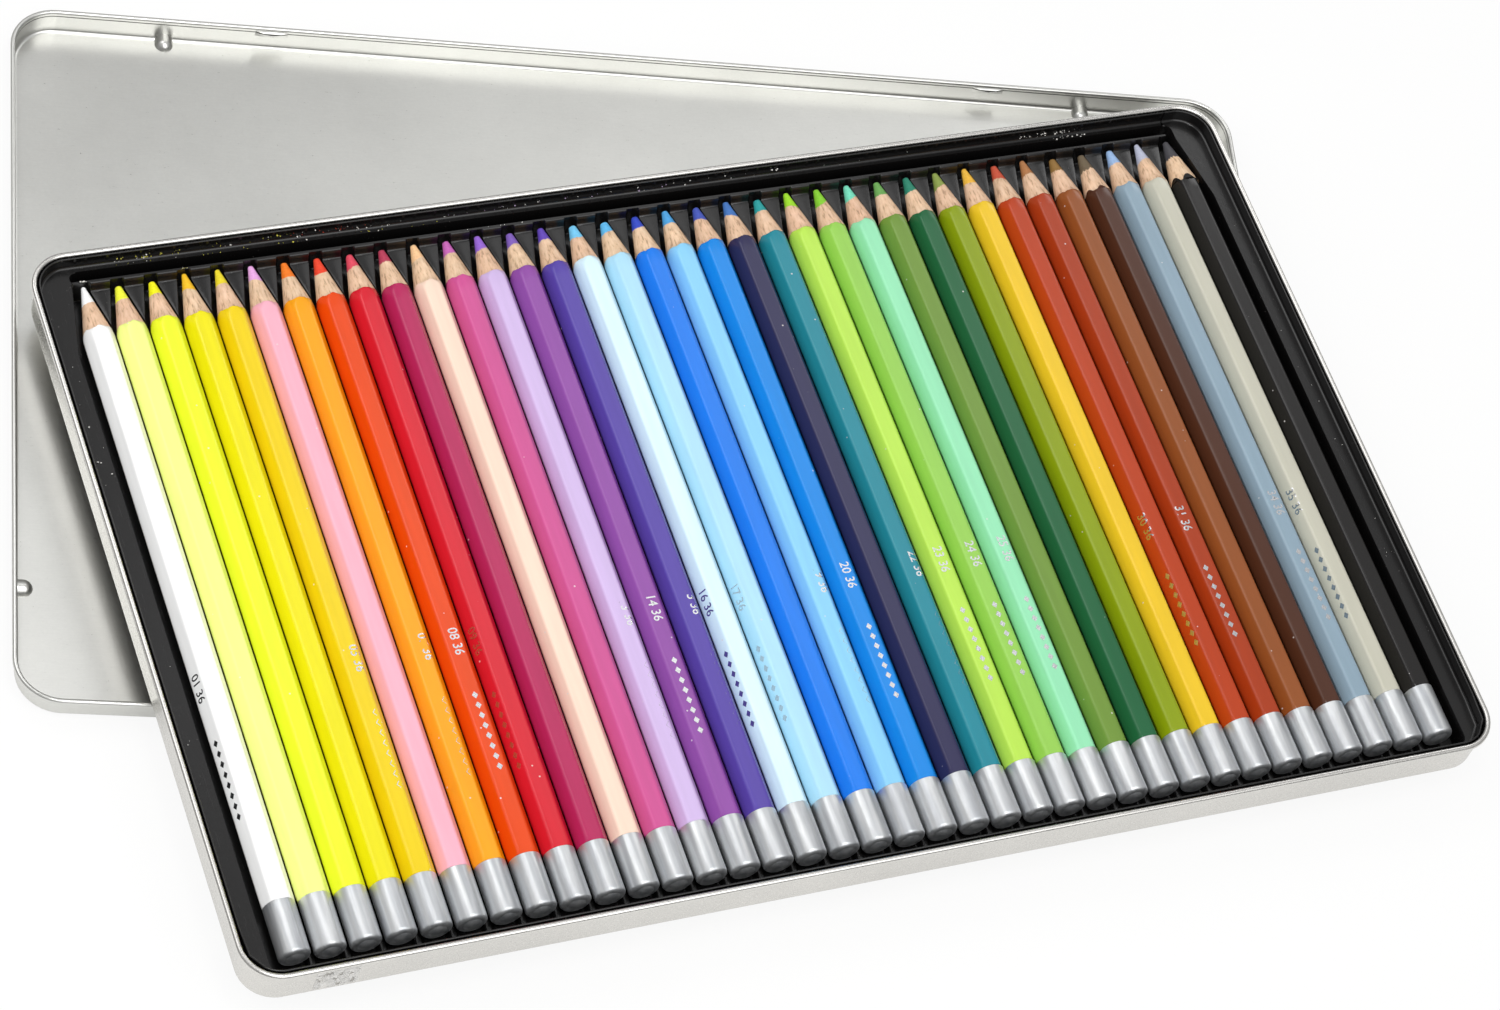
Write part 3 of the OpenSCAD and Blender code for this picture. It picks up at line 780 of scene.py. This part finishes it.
    points, faces, faceMaterials = [], [], []
    for ring, material in rings:
        points.extend(ring)
    for r in range(len(rings) - 1):
        for k in range(count):
            n = (k + 1) % count
            faces.append((r * count + k, (r + 1) * count + k, (r + 1) * count + n, r * count + n))
            faceMaterials.append(rings[r][1])
    points.append((0, 0.02, 0))
    for k in range(count):
        faces.append((len(points) - 1, k, (k + 1) % count))
        faceMaterials.append(3)
    points.append((0, shoulder + dome * 0.8, 0))
    last = (len(rings) - 1) * count
    for k in range(count):
        faces.append((len(points) - 1, last + (k + 1) % count, last + k))
        faceMaterials.append(2)
    addFoil(number, face, points, faces, faceMaterials, 4)

    x = rowShift + (number - 1 - (len(pencilNodes) - 1) / 2) * slotPitch
    place = tinPlace @ Matrix.Translation(Vector((x, capEnd, pencilAxisZ)) * mm)
    name = "dressed_" + pencilNodes[number - 1]
    return meshObject(name, points, faces, materials, faceMaterials, place, 38)


# Hot-stamped number and a row of diamonds: plain marks in the place of the print on each barrel

foil = {
    "size": 3.1,           # height of a line of digits, mm
    "from": 70.5,          # distance of the numbers from the end of the cap
    "diamonds": 8, "firstDiamond": 53, "diamondStep": 2.6,
    "diamondLong": 0.9, "diamondWide": 0.7,
    "raise": 0.012,        # mm above the lacquer
    "thick": 0.02,
}


def onBarrel(x, lift):
    # a point at the distance x from the middle of a face, laid round the edge of the barrel if it passes it
    radius = pencil["cornerRadius"]
    halfFlat = (pencil["flats"] / 2 - radius) * math.tan(math.radians(30))
    past = max(0, abs(x) - halfFlat) / radius
    height = pencil["flats"] / 2 - radius + (radius + lift) * math.cos(past)
    return math.copysign(min(abs(x), halfFlat) + (radius + lift) * math.sin(past), x), height


def digitShape(text):
    curve = bpy.data.curves.new("digits", "FONT")
    curve.body = text
    curve.size = foil["size"]
    curve.resolution_u = 3
    curve.offset = 0.03
    holder = bpy.data.objects.new("digits", curve)
    mesh = holder.to_mesh()
    shape = ([v.co.copy() for v in mesh.vertices], [tuple(p.vertices) for p in mesh.polygons])
    holder.to_mesh_clear()
    bpy.data.objects.remove(holder)
    bpy.data.curves.remove(curve)
    return shape


def addFoil(number, stamp, points, faces, faceMaterials, slot):
    face, sideways = stamp
    turn = Matrix.Rotation(math.radians(60 * face), 3, "Y")
    dots, shapes = digitShape(f"{number:02d} {len(pencilNodes)}")
    height = 0.7 * foil["size"]
    parts = [([(sideways + d.y - height / 2, foil["from"] - d.x) for d in dots], shapes)]
    for k in range(foil["diamonds"]):
        middle = foil["firstDiamond"] - k * foil["diamondStep"]
        corners = [(0, foil["diamondLong"]), (foil["diamondWide"], 0), (0, -foil["diamondLong"]),
                   (-foil["diamondWide"], 0)]
        parts.append(([(sideways + x, middle + y) for x, y in corners], [(3, 2, 1, 0)]))
    for flat, polygons in parts:
        start = len(points)
        for lift in (foil["raise"] + foil["thick"], foil["raise"] - 0.03):
            for x, y in flat:
                across, high = onBarrel(x, lift)
                points.append(tuple(turn @ Vector((across, y, high))))
        under = start + len(flat)
        edges = {}
        for polygon in polygons:
            faces.append(tuple(start + v for v in polygon))
            faces.append(tuple(under + v for v in reversed(polygon)))
            faceMaterials.extend([slot, slot])
            for a, b in zip(polygon, polygon[1:] + polygon[:1]):
                edges[(a, b)] = True
        for a, b in edges:
            if (b, a) not in edges:
                faces.append((start + b, start + a, under + a, under + b))
                faceMaterials.append(slot)


def lacquerMaterial(number, hexCode):
    # nitrocellulose lacquer in many thin coats: a deep colour under a wet-looking gloss, with fine ripples
    # along the barrel where it was pushed through the felt
    material, tree, shader = newMaterial("lacquer" + str(number), {"Roughness": 0.22, "IOR": 1.5})
    place = objectPlace(tree)
    ripple = noiseAt(tree, stretched(tree, place, (1, 0.08, 1), move=(number, 0, 0)), 1.8, 2)
    pores = noiseAt(tree, place, 0.5, 1)
    tree.links.new(bump(tree, pores, 0.002, bump(tree, ripple, 0.02)), shader.inputs["Normal"])
    # a few pale specks of dust, plain to see on dark colours only
    moved = stretched(tree, place, (1, 1, 1), move=(number * 0.37, number * 0.11, 0))
    speck = gritAt(tree, moved, 5.5, 0.028, 0.045, 0.8)
    shade = scaled(tree, linearColor(hexCode)[:3], spread(tree, ripple, 0.3, 0.7, 0.96, 1.03))
    tree.links.new(mixColors(tree, speck, shade, linearColor("#dedad6")), shader.inputs["Base Color"])
    return material


def coreMaterial(number, hexCode):
    # pigment in wax and oil: no gloss, a slightly crumbly cut with streaks from the sharpener
    material, tree, shader = newMaterial("waxCore" + str(number), {"Roughness": 0.55, "IOR": 1.45})
    crumbs = noiseAt(tree, objectPlace(tree), 0.35, 3)
    base = linearColor(hexCode)
    tone = ramp(tree, crumbs, [(0.3, tinted(base, 0.92)), (0.7, tinted(base, 1.15))])
    tree.links.new(tone, shader.inputs["Base Color"])
    tree.links.new(bump(tree, crumbs, 0.04), shader.inputs["Normal"])
    return material


def cedarMaterial():
    # incense cedar cut across its rays by the sharpener: pinkish tan, with fine dark streaks along the pencil
    material, tree, shader = newMaterial("sharpenedCedar", {"Roughness": 0.62, "IOR": 1.5})
    moved, chance = ownPlace(tree, objectPlace(tree))
    streak = noiseAt(tree, stretched(tree, moved, (1, 0.045, 1)), 0.6, 3, 0.6)
    cloud = noiseAt(tree, moved, 4, 2)
    tone = ramp(tree, streak, [
        (0.34, linearColor("#b0967f")), (0.44, linearColor("#dcc2a6")), (0.7, linearColor("#ecd8c2"))])
    warm = mixColors(tree, chance, linearColor("#fff6ea"), linearColor("#fdeae2"))
    wood = mixColors(tree, 1, tone, warm, "MULTIPLY")
    tree.links.new(scaled(tree, wood, spread(tree, cloud, 0.3, 0.7, 0.92, 1.08)), shader.inputs["Base Color"])
    tree.links.new(bump(tree, streak, 0.03), shader.inputs["Normal"])
    return material


def capMaterial():
    # drawn aluminium, dulled by tumbling and its skin of oxide, which scatters part of the light: satin grey
    # with soft bright and dark streaks along the tube
    material, tree, shader = newMaterial("tumbledAluminiumCap", {"Metallic": 0.78})
    moved, chance = ownPlace(tree, objectPlace(tree))
    along = stretched(tree, moved, (1, 0.05, 1))
    grain = noiseAt(tree, along, 0.25, 3, 0.6)
    streak = noiseAt(tree, along, 1.7, 2)
    cloud = noiseAt(tree, moved, 2.5, 3)
    tone = ramp(tree, streak, [(0.32, linearColor("#bdc0c4")), (0.68, linearColor("#e2e4e5"))])
    tree.links.new(tone, shader.inputs["Base Color"])
    tree.links.new(spread(tree, grain, 0.3, 0.7, 0.32, 0.46), shader.inputs["Roughness"])
    drawn = bump(tree, streak, 0.12, bump(tree, grain, 0.005))
    tree.links.new(bump(tree, cloud, 0.06, drawn), shader.inputs["Normal"])
    return material


def foilMaterial():
    # aluminium stamping foil: a bright mirror broken by the grain of what it was pressed on
    material, tree, shader = newMaterial("silverStampingFoil", {
        "Base Color": linearColor("#d9dadc"), "Metallic": 1, "Roughness": 0.22})
    tree.links.new(bump(tree, noiseAt(tree, objectPlace(tree), 0.4, 2), 0.03), shader.inputs["Normal"])
    return material


cedar, aluminium, stamping = cedarMaterial(), capMaterial(), foilMaterial()
for number, look in enumerate(pencilLooks, 1):
    node = pencilNodes[number - 1]
    piece = buildPencil(number, look, [
        lacquerMaterial(number, look[0]), cedar, coreMaterial(number, look[1]), aluminium, stamping])
    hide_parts(node)
    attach(piece, node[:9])
print("pencils done:", len(pencilLooks))


# Table, light and camera

def stageMaterial():
    # pale card: white to the camera and in reflections, but it keeps a soft shadow
    material, tree, shader = newMaterial("paleCard", {"Base Color": linearColor("#f2f2f0"), "Roughness": 0.8})
    path = addNode(tree, "LightPath").outputs
    mirrored = calculate(tree, "MULTIPLY", path["Is Glossy Ray"], studio["cardMirrored"])
    seen = calculate(tree, "MAXIMUM", path["Is Camera Ray"], mirrored)
    share = calculate(tree, "MULTIPLY", seen, studio["cardGlow"])
    glow = addNode(tree, "Emission", {}, {"Color": (1, 1, 1, 1), "Strength": 1})
    blend = addNode(tree, "MixShader", {}, {
        "Fac": share, 1: shader.outputs["BSDF"], 2: glow.outputs["Emission"]})
    tree.links.new(blend.outputs["Shader"], tree.nodes["Material Output"].inputs["Surface"])
    return material


def buildStage():
    size = 1600
    points = [(-size, -size, 0), (size, -size, 0), (size, size, 0), (-size, size, 0)]
    card = meshObject("table", points, [(0, 1, 2, 3)], [stageMaterial()])
    card.location.z = -0.05 * mm


def buildWorld():
    world = bpy.data.worlds.new("studio")
    bpy.context.scene.world = world
    world.use_nodes = True
    tree = world.node_tree
    path = addNode(tree, "LightPath").outputs
    seen = calculate(tree, "MAXIMUM", path["Is Camera Ray"], path["Is Glossy Ray"])
    either = calculate(tree, "MAXIMUM", seen, path["Is Transmission Ray"])
    # reflections show a pale room, greyer towards the horizon, with the soft boxes in it
    upward = addNode(tree, "SeparateXYZ", {}, {"Vector": addNode(tree, "TexCoord").outputs["Generated"]})
    ceiling = addNode(tree, "MapRange", {"interpolation_type": "SMOOTHSTEP"}, {
        "Value": upward.outputs["Z"], "From Min": 0.1, "From Max": 0.75,
        "To Min": studio["horizon"], "To Max": studio["ceiling"]})
    reflected = calculate(tree, "MAXIMUM", ceiling.outputs["Result"], path["Is Camera Ray"])
    background = tree.nodes["Background"]
    background.inputs["Color"].default_value = (1, 1, 1, 1)
    strength = spread(tree, either, 0, 1, studio["ambient"], reflected)
    tree.links.new(strength, background.inputs["Strength"])


studio = {
    "ambient": 0.41,
    "horizon": 0.22,
    "ceiling": 0.54,
    "cardGlow": 0.88,      # share of plain white in the table to the camera; the rest keeps the shadow
    "cardMirrored": 0.5,   # the part of that share that reflections get
    # name, direction to it (azimuth from +X towards +Y, elevation), distance and size in mm, watts,
    # and whether reflections show it
    "lamps": [
        ("softBox", 67, 56, 918, 300, 0.26, True),
        ("capBox", 135, 56, 900, 500, 1.3, True),
        ("front", -70, 54, 900, 760, 3.2, True),
        ("key", -104, 78, 900, 160, 0.95, True),
        ("strip", 52, 33, 900, 220, 0.4, True),
        ("left", 188, 40, 1100, 800, 4.6, False),
    ],
    "camera": {
        "lens": 113.479, "target": (13.0, -42.692, 18.55), "distance": 1068.06,
        "azimuth": -23.563, "elevation": 53.411, "roll": 22.492,
    },
}


def buildLamps():
    for name, azimuth, elevation, distance, size, watts, mirrored in studio["lamps"]:
        around, up = math.radians(azimuth), math.radians(elevation)
        toward = Vector((math.cos(around) * math.cos(up), math.sin(around) * math.cos(up), math.sin(up)))
        lamp = bpy.data.lights.new(name, "AREA")
        lamp.shape = "SQUARE"
        lamp.size = size * mm
        lamp.energy = watts
        holder = bpy.data.objects.new(name, lamp)
        holder.location = toward * distance * mm
        holder.rotation_mode = "QUATERNION"
        holder.rotation_quaternion = toward.to_track_quat("Z", "Y")
        holder.visible_glossy = mirrored
        bpy.context.scene.collection.objects.link(holder)


def buildCamera():
    view = studio["camera"]
    around, up, roll = (math.radians(view[k]) for k in ("azimuth", "elevation", "roll"))
    back = Vector((math.sin(around) * math.cos(up), -math.cos(around) * math.cos(up), math.sin(up)))
    level = Vector((0, 0, 1)).cross(back).normalized()
    above = back.cross(level)
    right = level * math.cos(roll) + above * math.sin(roll)
    top = above * math.cos(roll) - level * math.sin(roll)
    data = bpy.data.cameras.new("photoView")
    data.lens = view["lens"]
    data.sensor_fit = "HORIZONTAL"
    data.sensor_width = 36
    camera = bpy.data.objects.new("photoView", data)
    place = (Vector(view["target"]) + back * view["distance"]) * mm
    turned = Matrix((right, top, back)).transposed().to_4x4()
    camera.matrix_world = Matrix.Translation(place) @ turned
    bpy.context.scene.collection.objects.link(camera)
    bpy.context.scene.camera = camera


buildStage()
buildWorld()
buildLamps()
buildCamera()
bpy.context.scene.view_settings.view_transform = "Standard"
print("studio done")
